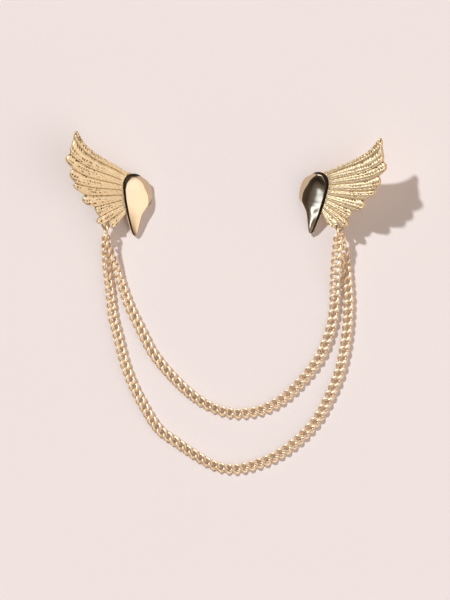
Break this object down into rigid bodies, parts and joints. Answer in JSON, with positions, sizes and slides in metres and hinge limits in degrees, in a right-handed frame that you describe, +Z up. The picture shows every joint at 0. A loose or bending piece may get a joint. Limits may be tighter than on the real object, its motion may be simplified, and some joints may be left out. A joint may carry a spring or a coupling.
{
  "type": "lapel chain with two winged half-heart brooches",
  "caption": "Lapel chain: mirrored brooches, each a polished half heart with a ribbed feather wing, joined by an inner and an outer curb chain on jump rings, with post and clutch backs.",
  "frame": {"origin": "On the table, under the middle of the whole piece's bounding box.", "axes": "+Z is up from the table through the faces of the brooches. +Y runs from the bend of the chains to the brooches, the longest way. +X runs from the left brooch to the right one as seen from above."},
  "size_m": [0.0914, 0.0977, 0.0152],
  "materials": {
    "wing_satin": "satin",
    "heart_polished": "polished",
    "fitting": "satin",
    "clutch_metal": "satin",
    "chain_gold": "polished"
  },
  "bodies": {
    "root": {"left_wing": "wing_satin", "right_wing": "wing_satin", "left_heart": "heart_polished", "right_heart": "heart_polished", "left_post": "fitting", "right_post": "fitting", "left_clutch": "clutch_metal", "right_clutch": "clutch_metal", "left_ring": "chain_gold", "right_ring": "chain_gold", "chain_inner": "chain_gold", "chain_outer": "chain_gold"}
  },
  "joints": []
}
